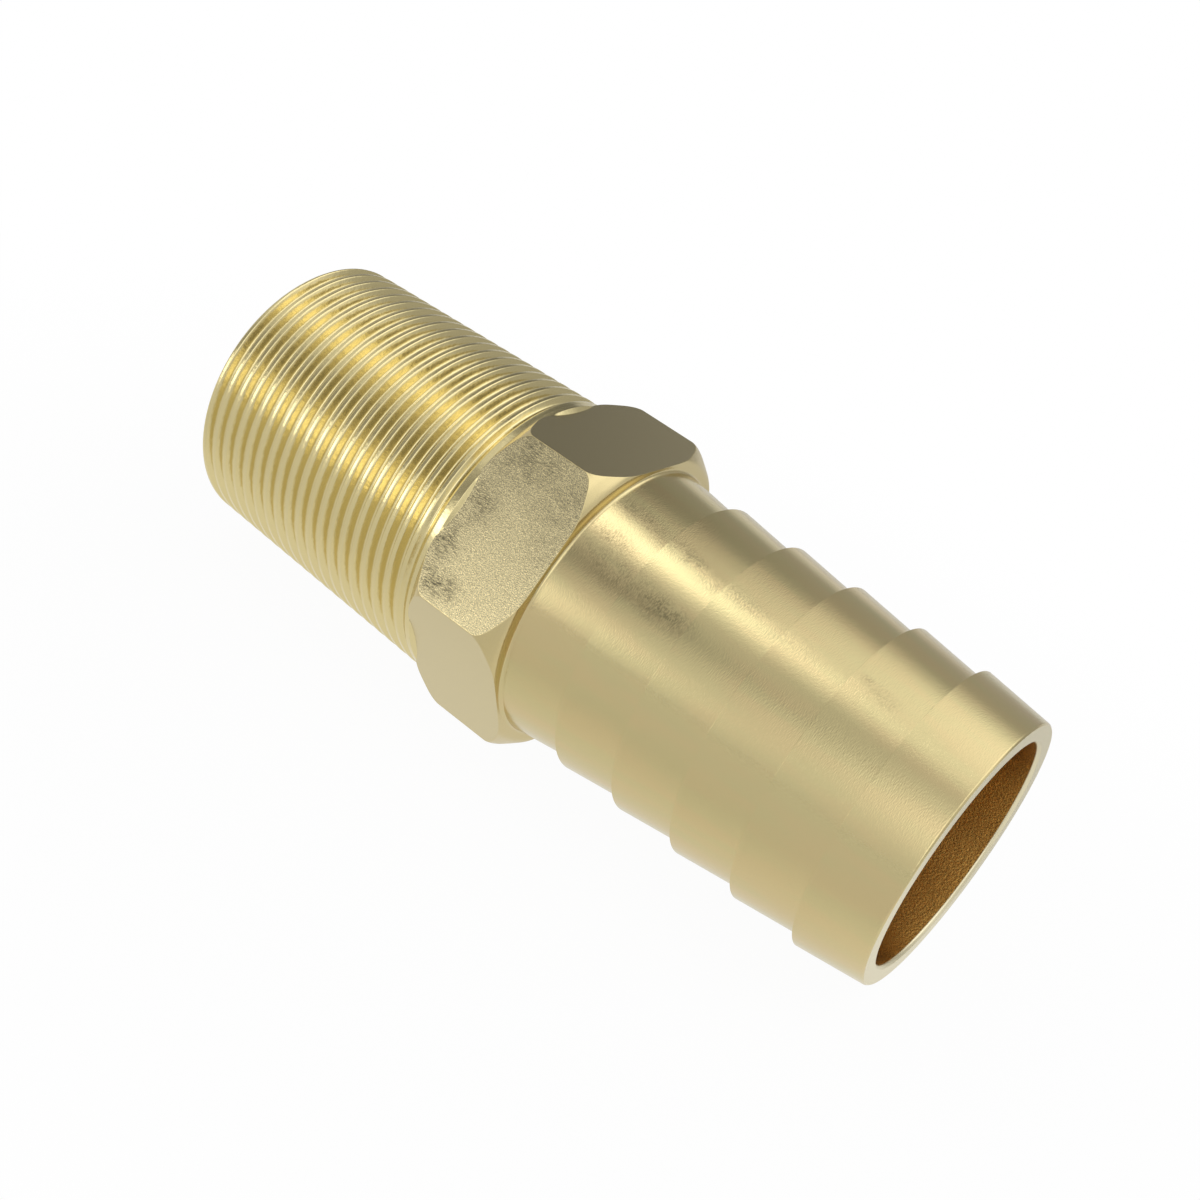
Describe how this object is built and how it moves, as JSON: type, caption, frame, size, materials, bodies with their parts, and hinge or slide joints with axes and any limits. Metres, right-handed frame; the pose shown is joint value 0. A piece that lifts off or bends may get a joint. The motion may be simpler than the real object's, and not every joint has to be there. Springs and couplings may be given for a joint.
{
  "type": "male threaded hose connector",
  "caption": "Straight brass pipe fitting: a male taper thread, a hexagon for a spanner and a barbed tail that a hose is pushed onto.",
  "frame": {"origin": "on the axis of the bore, halfway along the whole length", "axes": "+X along the bore from the threaded end to the hose end, +Z square to the upper flat of the hexagon, +Y towards one of its corners"},
  "size_m": [0.115, 0.0488, 0.0432],
  "materials": {
    "brass": "satin brass, turned tail and thread, drawn flats"
  },
  "bodies": {
    "root": {"hose_connector": "brass"}
  },
  "joints": []
}
